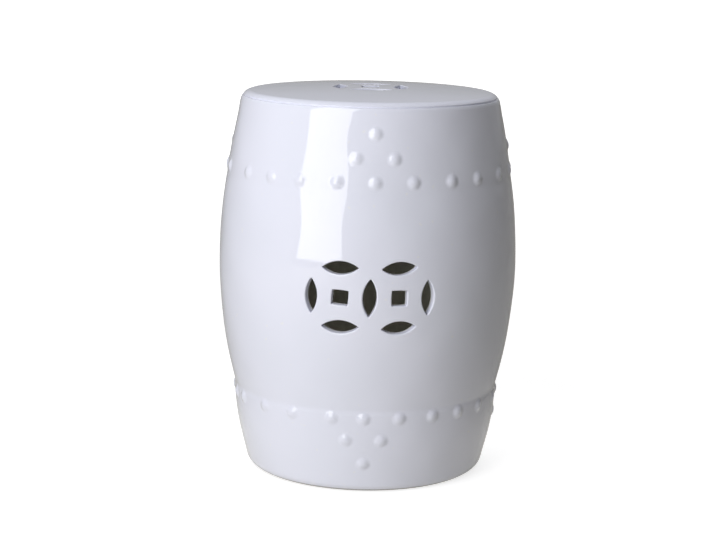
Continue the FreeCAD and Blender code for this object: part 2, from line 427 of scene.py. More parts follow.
def turned(rows, turn, amount):
    """Points, normals and two tangents of the surface that outline rows turn into at the azimuths turn.

    A point lies at the row's radius along the azimuth's direction and at the row's height, moved along the
    normal by the unevenness. The normal leans by the row's lean, less the unevenness's slopes.
    """
    radius, z, lean = (rows[..., k] for k in range(3))
    ahead, beside = outward(turn), rightward(turn)
    upward = np.array([0.0, 0.0, 1.0])
    normal = ahead * np.cos(lean)[..., None] + upward * np.sin(lean)[..., None]
    climb = upward * np.cos(lean)[..., None] - ahead * np.sin(lean)[..., None]
    lift, by_turn, by_height = unevenness(turn, z, amount)
    place = ahead * radius[..., None] + upward * z[..., None] + normal * lift[..., None]
    bent = normal - beside * (by_turn / radius)[..., None] - climb * (by_height * np.cos(lean))[..., None]
    return place, unit(bent), beside, climb


def unit(vectors):
    """Vectors of length 1."""
    return vectors / np.linalg.norm(vectors, axis=-1, keepdims=True)


# Meshes

# The material that each slot's pieces wear
FINISHES = {"white_glaze": "stool_glaze", "bare_clay": "stool_clay"}


class Skin:
    """A mesh made of whole arrays: points with a share of glaze, and faces with a normal at each corner."""

    def __init__(self):
        self.points = []
        self.shares = []
        self.faces = []
        self.normals = []
        self.count = 0

    def add(self, points, glaze):
        """Adds an array of points of any shape, and gives their numbers in that shape."""
        shape = points.shape[:-1]
        size = int(np.prod(shape))
        numbers = np.arange(self.count, self.count + size).reshape(shape)
        self.points.append(points.reshape(-1, 3))
        self.shares.append(np.broadcast_to(glaze, shape).ravel())
        self.count += size
        return numbers

    def cover(self, numbers, normals, keep=None):
        """Faces a grid of numbered points with quads, whose corners take the grid's normals.

        A quad whose corners run clockwise as seen against those normals is turned over.
        """
        corners = (np.s_[:-1, :-1], np.s_[:-1, 1:], np.s_[1:, 1:], np.s_[1:, :-1])
        faces = np.stack([numbers[corner] for corner in corners], -1)
        normals = np.stack([normals[corner] for corner in corners], -2)
        if keep is None:
            keep = np.ones(faces.shape[:2], bool)
        self.face(faces[keep], normals[keep])

    def wrap(self, numbers, normals, keep=None):
        """Faces a grid that goes all the way round, from its last column back to its first."""
        self.cover(closed(numbers), closed(normals), keep)

    def face(self, faces, normals):
        """Adds faces of one corner count, with a normal at each corner."""
        points = np.concatenate(self.points)[faces]
        across = np.cross(points[:, 2] - points[:, 0], points[:, -1] - points[:, 1])
        back = (across * normals.sum(1)).sum(-1) < 0
        faces = np.where(back[:, None], faces[:, ::-1], faces)
        normals = np.where(back[:, None, None], normals[:, ::-1], normals)
        self.faces.append(faces)
        self.normals.append(normals)

    def build(self, name, slot, nodes):
        """Makes the piece, with its glaze as a vertex attribute, in place of the named nodes."""
        points = np.concatenate(self.points)
        corners = np.concatenate([faces.ravel() for faces in self.faces])
        sizes = np.concatenate([np.full(len(faces), faces.shape[1]) for faces in self.faces])
        mesh = bpy.data.meshes.new(name)
        mesh.vertices.add(len(points))
        mesh.vertices.foreach_set("co", points.astype(np.float32).ravel())
        mesh.loops.add(len(corners))
        mesh.loops.foreach_set("vertex_index", corners.astype(np.int32))
        mesh.polygons.add(len(sizes))
        mesh.polygons.foreach_set("loop_start", np.concatenate([[0], np.cumsum(sizes)[:-1]]).astype(np.int32))
        mesh.update(calc_edges=True)
        mesh.polygons.foreach_set("use_smooth", np.ones(len(sizes), bool))
        share = mesh.attributes.new("glaze", "FLOAT", "POINT")
        share.data.foreach_set("value", np.concatenate(self.shares).astype(np.float32))
        normals = np.concatenate([unit(normals).reshape(-1, 3) for normals in self.normals])
        mesh.normals_split_custom_set(normals.astype(np.float32))
        if mesh.validate():
            raise ValueError(f"{name} has faces that Blender had to mend")
        mesh.materials.append(bpy.data.materials[FINISHES[slot]])
        piece = bpy.data.objects.new(name, mesh)
        bpy.context.scene.collection.objects.link(piece)
        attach(piece, "root")
        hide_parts(*nodes)
        return piece


def closed(grid):
    """A grid whose first column is repeated after its last, so that it goes all the way round."""
    return np.concatenate([grid, grid[:, :1]], 1)


# Openings

# Steps across an upright lens's block, between two such blocks, and round the rest of the barrel
BAND = 8
GAP = 24
REST = 158

# Steps of half a square's rounded corner
CORNER = 4

# Rings of faces from a block's edge to its opening, over the rounded glaze, and through the clay
LEVEL_RINGS = 5
ROUND_RINGS = 5
WALL_RINGS = 5

# Shares of the clay's thickness between which the glaze in an opening gives way to bare clay
LINING_BARE = (0.55, 0.95)

MM = 0.001

# An opening cut true: moved up by so many mm, turned by so many degrees, and so many mm longer and wider
TRUE_CUT = (0.0, 0.0, 0.0, 0.0)

# How the front openings were cut by hand: the upright lenses, then each coin's square, lower and upper lens
FRONT_CUTS = (
    (0.4, -0.8, -2.5, -1.0),
    (0.0, -2.3, 1.0, 1.0),
    (-0.4, 0.0, -2.0, 0.0),
    (0.0, -4.0, -0.8, 1.2),
    (0.0, 0.0, 0.5, 0.0),
    (0.0, 0.5, -0.5, 0.0),
    TRUE_CUT,
    (-0.4, 4.0, -2.5, 0.0),
    (0.0, 3.0, -2.0, 0.0),
)


def lens_outline(length, width, tip):
    """Outline of an upright lens, as a hub, a direction, a reach and a softness for each point.

    It has the two equal arcs of a lens that is smaller by the tip rounding, moved out by it again, and a
    round cap on each tip. Glaze that lies on the edge moves each point along its own direction. The
    softness is 0 on the caps, and rises to 1 in the middle of each arc as a half wave. The points go round
    from the lower cap by the right arc and the upper cap to the left arc.
    """
    half_long = length / 2 - tip
    half_wide = width / 2 - tip
    radius = (half_long**2 + half_wide**2) / (2 * half_wide)
    lean = math.atan2(half_long, radius - half_wide)
    cap = np.linspace(lean, math.pi - lean, BAND, endpoint=False)
    arc = np.linspace(-lean, lean, GAP, endpoint=False)
    turns = np.concatenate([cap + math.pi, arc, cap, arc + math.pi])
    hubs = ((0, -half_long), (half_wide - radius, 0), (0, half_long), (radius - half_wide, 0))
    hub = np.repeat(np.array(hubs, float), (BAND, GAP, BAND, GAP), axis=0)
    reach = np.repeat(np.array([tip, tip + radius] * 2), (BAND, GAP, BAND, GAP))
    side = np.sin(np.linspace(0, math.pi, GAP, endpoint=False))
    softness = np.concatenate([np.zeros(BAND), side, np.zeros(BAND), side])
    return hub, np.stack([np.cos(turns), np.sin(turns)], -1), reach, softness


def lying(outline):
    """An upright outline turned a quarter clockwise, starting with its lower long side."""
    hub, away, reach, softness = outline
    hub, away = [np.roll(np.stack([part[:, 1], -part[:, 0]], -1), -BAND, 0) for part in (hub, away)]
    return hub, away, np.roll(reach, -BAND), np.roll(softness, -BAND)


def square_outline(side, tip, wider, taller):
    """Outline of a square in the same form: straight sides, with a quarter round at each corner.

    The right side is worked out once, from the middle of its lower corner to the middle of its upper one, and
    turned. Then the square is drawn out to its own width and height.
    """
    half = side / 2 - tip
    straight = GAP - 2 * CORNER
    lower_turn = np.linspace(-math.pi / 4, 0, CORNER, endpoint=False)
    upper_turn = np.linspace(0, math.pi / 4, CORNER, endpoint=False)
    turns = np.concatenate([lower_turn, np.zeros(straight), upper_turn])
    height = np.linspace(-half, half, straight, endpoint=False)
    height = np.concatenate([np.full(CORNER, -half), height, np.full(CORNER, half)])
    hub = np.stack([np.full(GAP, half), height], -1)
    away = np.stack([np.cos(turns), np.sin(turns)], -1)
    quarter = np.array([[0, -1], [1, 0]])
    sides = [np.linalg.matrix_power(quarter, number) for number in (3, 0, 1, 2)]
    hub = np.concatenate([hub @ side.T for side in sides])
    hub = hub * (1 + wider / 2 / half, 1 + taller / 2 / half)
    away = np.concatenate([away @ side.T for side in sides])
    run = np.linspace(0, math.pi, straight, endpoint=False)
    softness = np.concatenate([np.zeros(CORNER), np.sin(run), np.zeros(CORNER)])
    return hub, away, np.full(4 * GAP, tip), np.tile(softness, 4)


def coin_lines(coins, pitch, half_block):
    """Places of the lines beside the upright lenses of a row of coins."""
    middles = (np.arange(coins + 1) - coins / 2) * pitch
    return np.stack([middles - half_block, middles + half_block], -1).ravel()


def coin_steps(coins):
    """Steps between those lines."""
    return [BAND, GAP] * coins + [BAND]


def coin_blocks(coins, pitch, lens, side, tip, cuts=None):
    """Middle, outline, first row and first column of each opening's block in a row of coins.

    Neighbouring coins share an upright lens. Each coin has a square in its middle and a lying lens below
    and above. lens is the length and width of a lens. A cut moves, turns and resizes an opening.
    """
    step = BAND + GAP
    blocks = [("upright", (k - coins / 2) * pitch, 0.0, BAND, k * step) for k in range(coins + 1)]
    for number in range(coins):
        middle = (number + 0.5 - coins / 2) * pitch
        column = number * step + BAND
        blocks.append(("square", middle, 0.0, BAND, column))
        blocks.append(("lying", middle, -pitch / 2, 0, column))
        blocks.append(("lying", middle, pitch / 2, step, column))
    cuts = cuts or [TRUE_CUT] * len(blocks)
    return [
        ((across, up + MM * moved), hand_cut(kind, lens, side, tip, cut), row, column)
        for (kind, across, up, row, column), (moved, *cut) in zip(blocks, cuts)
    ]


def hand_cut(kind, lens, side, tip, cut):
    """Outline of an opening in its hand-cut size, with its points and directions turned about its middle."""
    turn, longer, wider = math.radians(cut[0]), MM * cut[1], MM * cut[2]
    if kind == "square":
        outline = square_outline(side, tip, wider, longer)
    else:
        outline = lens_outline(lens[0] + longer, lens[1] + wider, tip)
    if kind == "lying":
        outline = lying(outline)
    turning = np.array([[math.cos(turn), math.sin(turn)], [-math.sin(turn), math.cos(turn)]])
    return outline[0] @ turning, outline[1] @ turning, *outline[2:]


def block_range(start):
    """Lines at the ends of a block, which spans a band where a coin's step starts, and otherwise a gap."""
    return start, start + (GAP if start % (BAND + GAP) else BAND)


def edge_of(grid, rows, columns):
    """The grid's entries round a block of it, from its first corner: along, up, back and down."""
    low, high = rows
    left, right = columns
    back = grid[high, left + 1 : right + 1][::-1]
    down = grid[low + 1 : high + 1, left][::-1]
    return np.concatenate([grid[low, left:right], grid[low:high, right], back, down])


def pierce(skin, place, flat, sides, blocks, thickness, rounds):
    """Lines the openings of a row of coins, and says which quads of the two sides' grids stay.

    place turns flat places and depths into points, normals and tangents, flat holds the grid's flat places,
    and sides the grid's numbers and normals on the two sides of the clay. From its block's edge the surface
    runs level to the outline with the glaze on it, turns into the opening through a quarter round, goes
    straight through the clay, and turns out again in the same way. The quarter round has the smaller of the
    two rounds at the outline's corners, and grows with its softness to the larger.
    """
    level = np.linspace(0, 1, LEVEL_RINGS + 1)[1:-1, None, None]
    quarter = np.linspace(0, math.pi / 2, ROUND_RINGS + 1)
    through = np.linspace(0, 1, WALL_RINGS + 1)[1:-1]
    still = np.ones(LEVEL_RINGS - 1)
    upright = np.full(len(through), math.pi / 2)
    tilt = np.concatenate([0 * still, quarter, upright, math.pi - quarter[::-1], math.pi * still])
    tilt = tilt[:, None, None]
    keep = np.ones((flat.shape[0] - 1, flat.shape[1] - 1), bool)
    for middle, (hub, away, reach, softness), row, column in blocks:
        rows, columns = block_range(row), block_range(column)
        keep[slice(*rows), slice(*columns)] = False
        glaze_round = rounds[0] + (rounds[1] - rounds[0]) * softness
        flush = np.zeros((len(still), len(glaze_round)))
        turning_in = glaze_round * (1 - np.cos(quarter))[:, None]
        straight = glaze_round + (thickness - 2 * glaze_round) * through[:, None]
        deep = np.concatenate([flush, turning_in, straight, thickness - turning_in[::-1], thickness + flush])
        bare = hub + away * reach[:, None] + middle
        rounded = bare + away * (glaze_round * (1 - np.sin(quarter))[:, None])[..., None]
        edge = edge_of(flat, rows, columns)
        level_run = edge + (rounded[0] - edge) * level
        straight_run = np.broadcast_to(bare, (len(through), *bare.shape))
        spots = np.concatenate([level_run, rounded, straight_run, rounded[::-1], level_run[::-1]])
        points, normal, beside, climb = place(spots[..., 0], spots[..., 1], deep)
        into = -(beside * away[:, :1] + climb * away[:, 1:])
        lining = unit(normal * np.cos(tilt) + into * np.sin(tilt))
        glazed = 1 - smooth_step(deep, *(share * thickness for share in LINING_BARE))
        edges = [[edge_of(grid, rows, columns)[None] for grid in side] for side in sides]
        numbers = np.concatenate([edges[0][0], skin.add(points, glazed), edges[1][0]])
        skin.wrap(numbers, np.concatenate([edges[0][1], lining, edges[1][1]]))
    return keep


# Pieces

# Steps of the wall's rows on each side of the clay: round the foot, then up the lower band, over the ledge
# and on to the coins, then from the coins to the crease, over it and on to the shoulder or the seat
OUTSIDE_STEPS = (10, (24, 10, 26), (20, 8, 20))
INSIDE_STEPS = (5, (12, 3, 10), (8, 3, 8))

# Steps of the wall's shoulder up to the groove and on to the seam
WALL_SHOULDER_STEPS = (5, 6)

# Steps of the seat's shoulder from the seam to the groove's edge and on to the crown
SEAT_SHOULDER_STEPS = (6, 7)

# Radii of the ring round the seat's coin, and of the ring from which the wall's columns go on
COIN_RING = 0.075
COLUMN_RING = 0.080

# Steps from the coin to its ring, over the crown, round the corner under the seat, and down to the seam
COIN_RING_STEPS = 8
CROWN_STEPS = 16
CEILING_STEPS = 10
UNDER_SEAT_STEPS = 5

# Steps round each corner of the foot ring
RING_CORNER_STEPS = 6

# Heights between which the bare foot gives way to the glaze
GLAZE_LINE = (0.0010, 0.0026)

# Shares of glaze: on a coated surface, and on bare clay
GLAZED = 1.0
BARE = 0.0

# How far a boss's rim lies under the wall's surface
BOSS_SINK = 0.00004

# Distance from a boss's middle, as a share of its rim's, that is taken for the middle itself
NO_DISTANCE = 1e-9


def wall_columns(barrel, coin):
    """Azimuths of the wall's columns: close at the pierced front, and wider round the rest."""
    lines = coin_lines(2, coin.coin_pitch, coin.block_half)
    round_again = 2 * math.pi * barrel.belly_radius + lines[0]
    steps = [*coin_steps(2), REST]
    return spread([*lines, round_again], steps)[:-1] / barrel.belly_radius


def wall_rows(outline, coin, end, steps):
    """Rows of one side of the wall, from the foot ring's seam to the height end, and the coins' first row."""
    barrel, ledge, crease = outline.sizes, outline.ledge, outline.crease
    foot_steps, low_steps, high_steps = steps
    rows_up = coin.coin_height + coin_lines(1, coin.coin_pitch, coin.block_half)
    ledge_low = ledge - barrel.ledge_softness
    ledge_high = ledge + barrel.ledge_slope + barrel.ledge_softness
    low = spread([outline.foot_top, ledge_low, ledge_high, rows_up[0]], low_steps)
    coins = spread(rows_up, coin_steps(1))
    soft = barrel.crease_softness
    high = spread([rows_up[-1], crease - soft, crease + soft, end], high_steps)
    level = outline.floor_rows(np.array([RING_BOX[1].x, outline.foot_centre[0]]))
    foot = outline.foot(foot_steps)[::-1]
    wall = outline.wall(np.concatenate([low[1:-1], coins, high[1:]]))
    rows = np.concatenate([level[:1], foot, wall])
    return rows, 1 + len(foot) + len(low) - 2


def seam_faces(skin, numbers_a, numbers_b, normal):
    """A ring of faces between two loops of points, with one normal for each column or for them all."""
    skin.wrap(np.stack([numbers_a, numbers_b]), np.broadcast_to(normal, (2, len(numbers_a), 3)))


def seat_seam(skin, turn, outer, inner, facing):
    """The bare step where wall and seat meet: upright from the outside, and then level to the inside.

    facing is 1 for the seat, whose step faces outwards and down, and -1 for the wall, whose step faces it.
    """
    ahead = outward(turn)
    corner = skin.add(ahead * SEAT_BOX[1].x + (0.0, 0.0, SEAT_BOX[0].z), BARE)
    seam_faces(skin, outer, corner, facing * ahead)
    seam_faces(skin, corner, inner, (0.0, 0.0, -facing))


def make_wall(settings):
    """The pierced wall: its outline turned round the axis, outside and inside, and the openings' linings.

    Outside it is glazed above the foot's underside, which stands in the kiln, and inside it is bare.
    """
    barrel, coin = settings.barrel, settings.coin
    turn = wall_columns(barrel, coin)
    outside, inside = Outline(barrel, False), Outline(barrel, True)
    shoulder = outside.shoulder(seat=False)
    outer_rows, outer_first = wall_rows(outside, coin, shoulder[0, 1], OUTSIDE_STEPS)
    outer_rows = np.concatenate([outer_rows[:-1], shoulder])
    inner_rows, inner_first = wall_rows(inside, coin, SEAT_BOX[0].z, INSIDE_STEPS)
    outer_points, outer_normals, _, _ = turned(outer_rows[:, None], turn, barrel.unevenness)
    inner_points, inner_normals, _, _ = turned(inner_rows[:, None], turn, barrel.unevenness)
    skin = Skin()
    outer = skin.add(outer_points, smooth_step(outer_rows[:, 1:2], *GLAZE_LINE))
    inner = skin.add(inner_points, BARE)

    def place(across, up, deep):
        rows = outside.wall(coin.coin_height + up)
        points, normal, beside, climb = turned(rows, across / barrel.belly_radius, barrel.unevenness)
        return points - normal * deep[..., None], normal, beside, climb

    high = coin_lines(1, coin.coin_pitch, coin.block_half)
    wide = coin_lines(2, coin.coin_pitch, coin.block_half)
    flat = np.stack(np.meshgrid(spread(wide, coin_steps(2)), spread(high, coin_steps(1))), -1)
    sides = ((outer, outer_normals, outer_first), (inner, -inner_normals, inner_first))
    windows = [np.s_[first : first + flat.shape[0], : flat.shape[1]] for _, _, first in sides]
    lens = (coin.lens_length, coin.lens_width)
    blocks = coin_blocks(2, coin.coin_pitch, lens, coin.square_side, coin.tip_round, FRONT_CUTS)
    pierced = [(numbers[window], normals[window]) for (numbers, normals, _), window in zip(sides, windows)]
    rounds = (coin.end_round, coin.side_round)
    keep_window = pierce(skin, place, flat, pierced, blocks, barrel.wall_thickness, rounds)
    for numbers, normals, first in sides:
        keep = np.ones((numbers.shape[0] - 1, numbers.shape[1]), bool)
        keep[first : first + keep_window.shape[0], : keep_window.shape[1]] = keep_window
        skin.wrap(numbers, normals, keep)
    seat_seam(skin, turn, outer[-1], inner[-1], -1.0)
    seam_faces(skin, outer[0], inner[0], -outward(turn))
    return skin.build("glazed_wall", "white_glaze", ["barrel_wall"])


def zip_loops(skin, near, far):
    """Triangles between two loops round the axis that have different numbers of points.

    Each loop is its numbers, azimuths in rising order and normals. An edge of one loop is joined to the
    point that the other loop has reached where the edge has its middle.
    """
    for (numbers, turn, normals), (others, other_turn, other_normals) in ((near, far), (far, near)):
        middles = middle_turns(other_turn)
        around = np.concatenate([middles - 2 * math.pi, middles, middles + 2 * math.pi])
        reached = (np.searchsorted(around, middle_turns(turn)) - len(others)) % len(others)
        faces = np.stack([numbers, np.roll(numbers, -1), others[reached]], -1)
        skin.face(faces, np.stack([normals, np.roll(normals, -1, 0), other_normals[reached]], -2))


def middle_turns(turn):
    """Azimuths of the middles of a closed loop's edges."""
    return (turn + np.append(turn[1:], turn[0] + 2 * math.pi)) / 2


def on_crown(outline, spots):
    """Points of the crowned seat over flat places, with normals that point away from the crown's centre."""
    centre_z, reach = outline.crown[1:]
    height = centre_z + np.sqrt(reach**2 - (spots**2).sum(-1))
    points = np.concatenate([spots, height[..., None]], -1)
    return points, (points - (0, 0, centre_z)) / reach


def seat_side(skin, barrel, lines, turn, inside):
    """One side of the seat: a grid over its coin, a patch out to a ring, and from there the turned outline.

    On the patch each point of the grid's edge runs straight to a point of the ring, in equal steps. It
    returns the grid's flat places, numbers and normals, and the numbers of the last row at the seam.
    """
    outline = Outline(barrel, inside)
    facing, share = (-1.0, BARE) if inside else (1.0, GLAZED)
    grid = np.stack(np.meshgrid(lines, lines), -1)
    points, normals = on_crown(outline, grid)
    numbers = skin.add(points, share)
    whole = ((0, len(lines) - 1),) * 2
    edge = edge_of(grid, *whole)
    around = np.arange(len(edge)) / len(edge) * 2 * math.pi - 3 * math.pi / 4
    ring = COIN_RING * np.stack([np.cos(around), np.sin(around)], -1)
    steps = np.linspace(0, 1, COIN_RING_STEPS + 1)[1:, None, None]
    patch, patch_normals = on_crown(outline, edge + (ring - edge) * steps)
    patch_numbers = np.concatenate([edge_of(numbers, *whole)[None], skin.add(patch, share)])
    patch_normals = np.concatenate([edge_of(normals, *whole)[None], patch_normals])
    skin.wrap(patch_numbers, facing * patch_normals)
    crown = outline.crown_rows(np.linspace(COLUMN_RING, outline.crown_edge, CROWN_STEPS + 1))
    if inside:
        top = outline.top(CEILING_STEPS)[::-1]
        wall = outline.wall(np.linspace(top[-1, 1], SEAT_BOX[0].z, UNDER_SEAT_STEPS + 1))
        rows = np.concatenate([crown[:-1], top, wall[1:]])
    else:
        rows = np.concatenate([crown[:-1], outline.shoulder(seat=True)[::-1]])
    rim, rim_normals, _, _ = turned(rows[:, None], turn, barrel.unevenness)
    rim_numbers = skin.add(rim, share)
    skin.wrap(rim_numbers, facing * rim_normals)
    ring_turn = (around + math.pi / 2) % (2 * math.pi)
    order = np.argsort(ring_turn)
    column_turn = turn % (2 * math.pi)
    column_order = np.argsort(column_turn)
    near = (patch_numbers[-1][order], ring_turn[order], facing * patch_normals[-1][order])
    far = (rim_numbers[0][column_order], column_turn[column_order], facing * rim_normals[0][column_order])
    zip_loops(skin, near, far)
    return grid, numbers, facing * normals, rim_numbers[-1]


def make_seat(settings):
    """The seat with its rounded shoulder, crowned top, underside, and the coin that is its finger hold."""
    barrel, coin = settings.barrel, settings.coin
    turn = wall_columns(barrel, coin)
    pitch = coin.seat_coin_pitch
    lines = spread(coin_lines(1, pitch, coin.seat_block_half), coin_steps(1))
    skin = Skin()
    top = seat_side(skin, barrel, lines, turn, False)
    under = seat_side(skin, barrel, lines, turn, True)
    crown, ceiling = Outline(barrel, False), Outline(barrel, True)

    def place(x, y, deep):
        spots = np.stack([x, y], -1)
        points, normal = on_crown(crown, spots)
        below, _ = on_crown(ceiling, spots)
        points = points + (below - points) * (deep / barrel.seat_thickness)[..., None]
        right = np.broadcast_to((1.0, 0.0, 0.0), points.shape)
        back = np.broadcast_to((0.0, 1.0, 0.0), points.shape)
        return points, normal, right, back

    lens = (coin.seat_lens_length, coin.seat_lens_width)
    blocks = coin_blocks(1, pitch, lens, coin.seat_square_side, coin.tip_round)
    sides = [(top[1], top[2]), (under[1], under[2])]
    rounds = (coin.seat_end_round, coin.seat_side_round)
    keep = pierce(skin, place, top[0], sides, blocks, barrel.seat_thickness, rounds)
    for numbers, normals in sides:
        skin.cover(numbers, normals, keep)
    seat_seam(skin, turn, top[3], under[3], 1.0)
    return skin.build("glazed_seat", "white_glaze", ["seat_slab"])


def make_foot_ring(settings):
    """The bare foot ring: a section with two rounded corners towards the hole, turned round the axis."""
    turn = wall_columns(settings.barrel, settings.coin)
    seam, thick = RING_BOX[1].x, RING_BOX[1].z
    rounding = settings.barrel.ring_round
    centre = seam - settings.barrel.foot_ring_width + rounding
    corner = np.linspace(0, math.pi / 2, RING_CORNER_STEPS + 1)
    lower = rounding_rows((centre, rounding), rounding, -math.pi / 2 - corner)
    upper = rounding_rows((centre, thick - rounding), rounding, math.pi - corner)
    rows = np.concatenate([[(seam, 0.0, -math.pi / 2)], lower, upper, [(seam, thick, math.pi / 2)]])
    points, normals, _, _ = turned(rows[:, None], turn, 0.0)
    skin = Skin()
    numbers = skin.add(points, BARE)
    skin.wrap(numbers, normals)
    seam_faces(skin, numbers[0], numbers[-1], outward(turn))
    return skin.build("bare_foot_ring", "bare_clay", ["foot_ring"])


def boss_places(names, settings):
    """Azimuths and heights of the bosses that the named solids hold, from the solids' boxes.

    A node with one boss has it in the middle of its box. A cluster has a pair half a pitch to each side of
    its middle, at the end of its box nearer to the row, and one boss in the middle at the other end.
    """
    outline = Outline(settings.barrel, False)
    row_count = sum(name.startswith("upper_boss_") for name in BOSS_NODES)
    half_pitch = math.pi / row_count
    turns, heights = [], []
    for name in names:
        low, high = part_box(name)
        middle = (low + high) / 2
        turn = math.atan2(middle.x, -middle.y)
        if "_boss_" in name:
            turns.append(turn)
            heights.append(middle.z)
            continue
        lean = outline.wall(np.array([middle.z]))[0, 2]
        reach = settings.boss.radius * math.cos(lean)
        pair, apex = low.z + reach, high.z - reach
        if name.startswith("lower"):
            pair, apex = apex, pair
        turns += [turn - half_pitch, turn + half_pitch, turn]
        heights += [pair, pair, apex]
    return np.array(turns), np.array(heights)


def make_bosses(settings, name, nodes):
    """Bosses pressed on the wall: low domes with a fillet of glaze round each, closed behind its surface.

    A disc is a square grid whose corners are drawn in: x times the root of 1 less half of y squared, and
    the same for y. Over it the dome rises by half of c plus the root of c squared plus the fillet squared,
    where c is the rise times 1 less the square of the distance in boss radii. That is the dome in its
    middle, and dies away round it.
    """
    boss, barrel = settings.boss, settings.barrel
    outline = Outline(barrel, False)
    turns, heights = boss_places(nodes, settings)
    line = np.linspace(-1, 1, boss.segments + 1)
    grid_x, grid_y = np.meshgrid(line, line)
    x = grid_x * np.sqrt(1 - grid_y**2 / 2)
    y = grid_y * np.sqrt(1 - grid_x**2 / 2)
    away = np.hypot(x, y)
    reach = boss.skirt * boss.radius
    dome = boss.rise * (1 - (away * boss.skirt) ** 2)
    root = np.sqrt(dome**2 + boss.fillet**2)
    end = boss.rise * (1 - boss.skirt**2)
    end_lift = (end + math.hypot(end, boss.fillet)) / 2
    lift = (dome + root) / 2 - end_lift - BOSS_SINK * away**4
    slope = -2 * boss.rise * away * boss.skirt / boss.radius * (dome + root) / (2 * root)
    middle_rows = outline.wall(heights)
    turn = turns[:, None, None] + x * reach / middle_rows[:, 0, None, None]
    z = heights[:, None, None] + y * reach * np.cos(middle_rows[:, 2, None, None])
    points, normal, beside, climb = turned(outline.wall(z), turn, barrel.unevenness)
    steep = slope / np.maximum(away, NO_DISTANCE)
    leaned = unit(normal - beside * (steep * x)[..., None] - climb * (steep * y)[..., None])
    front = points + normal * lift[..., None]
    behind = points - normal * (BOSS_SINK + boss.back * (1 - away**4))[..., None]
    rim = (np.abs(grid_x) == 1) | (np.abs(grid_y) == 1)
    skin = Skin()
    for number in range(len(turns)):
        front_numbers = skin.add(front[number], GLAZED)
        back_numbers = skin.add(behind[number][~rim], GLAZED)
        numbers = front_numbers.copy()
        numbers[~rim] = back_numbers
        skin.cover(front_numbers, leaned[number])
        skin.cover(numbers, -normal[number])
    return skin.build(name, "white_glaze", nodes)


# Materials

# Sockets of the mixing node for each kind of value: the first value, the second and the result
MIX_SOCKETS = {"RGBA": (6, 7, 2), "FLOAT": (2, 3, 0)}

# Stretches of a noise over which a soft change, the clay's shade, the specks and the ragged line come in
SOFT_CHANGE = (0.3, 0.7)
CLAY_SHADE = (0.35, 0.65)
SPECK_RANGE = (0.80, 0.86)
RAGGED_LINE = (0.55, 0.75)

# How strongly the specks show, and how far noise moves the line between glaze and clay
SPECK_STRENGTH = 0.25
RAGGEDNESS = 0.3

# How far the clay's and the glaze's roughness go from what is set
CLAY_ROUGHNESS_SPREAD = (-0.08, 0.05)
GLOSS_SPREAD = 0.015

# Sizes of the glaze's drift in waves and of the ragged line's notches in grains
DRIFT_WAVES = 3
NOTCH_GRAINS = 4

# Share of the painted contact shadow's height over which it is fully dark
FULLY_SHADOWED = 0.4

WHITE = (1.0, 1.0, 1.0)


class Nodes:
    """A node tree, with short ways to add and join nodes. Its textures are read at the named coordinates."""

    def __init__(self, tree, coordinates="Object"):
        self.tree = tree
        self.place = self.add("ShaderNodeTexCoord").outputs[coordinates]

    def add(self, kind, **values):
        """A node with its properties set."""
        node = self.tree.nodes.new(kind)
        for name, value in values.items():
            setattr(node, name, value)
        return node

    def join(self, output, socket):
        """Joins an output to a socket."""
        self.tree.links.new(output, socket)

    def feed(self, socket, value):
        """Joins an output to a socket, or sets a plain value on it."""
        if isinstance(value, bpy.types.NodeSocket):
            self.join(value, socket)
        else:
            socket.default_value = value

    def noise(self, size, detail=2.0, roughness=0.5):
        """Noise from 0 to 1 with features of a size in metres."""
        node = self.add("ShaderNodeTexNoise")
        self.join(self.place, node.inputs["Vector"])
        node.inputs["Scale"].default_value = 1 / size
        node.inputs["Detail"].default_value = detail
        node.inputs["Roughness"].default_value = roughness
        return node.outputs["Fac"]

    def math(self, operation, first, second, third=None):
        """A sum, product or the like of two or three values."""
        node = self.add("ShaderNodeMath", operation=operation)
        self.feed(node.inputs[0], first)
        self.feed(node.inputs[1], second)
        if third is not None:
            self.feed(node.inputs[2], third)
        return node.outputs[0]

    def ramp(self, value, low, high, to_low=0.0, to_high=1.0):
        """The value's way from low to high, smoothed and taken from to_low to to_high."""
        node = self.add("ShaderNodeMapRange", interpolation_type="SMOOTHSTEP")
        self.feed(node.inputs["Value"], value)
        for name, number in (("From Min", low), ("From Max", high), ("To Min", to_low), ("To Max", to_high)):
            node.inputs[name].default_value = number
        return node.outputs["Result"]

    def between(self, kind, share, first, second):
        """A value between two of its kind: the second where the share is 1."""
        node = self.add("ShaderNodeMix", data_type=kind)
        start, end, result = MIX_SOCKETS[kind]
        self.feed(node.inputs["Factor"], share)
        self.feed(node.inputs[start], first)
        self.feed(node.inputs[end], second)
        return node.outputs[result]

    def mix(self, share, first, second):
        """A colour between two colours."""
        return self.between("RGBA", share, first, second)

    def blend(self, share, first, second):
        """A number between two numbers."""
        return self.between("FLOAT", share, first, second)

    def bump(self, height):
        """A normal bent by a height in metres."""
        node = self.add("ShaderNodeBump")
        node.inputs["Strength"].default_value = 1.0
        node.inputs["Distance"].default_value = 1.0
        self.join(height, node.inputs["Height"])
        return node.outputs["Normal"]


def new_material(name):
    """A material, its nodes and the inputs of its shader."""
    material = bpy.data.materials.new(name)
    material.use_nodes = True
    return material, Nodes(material.node_tree), material.node_tree.nodes["Principled BSDF"].inputs


def opaque(values):
    """A colour with its fourth value."""
    return (*values, 1.0)


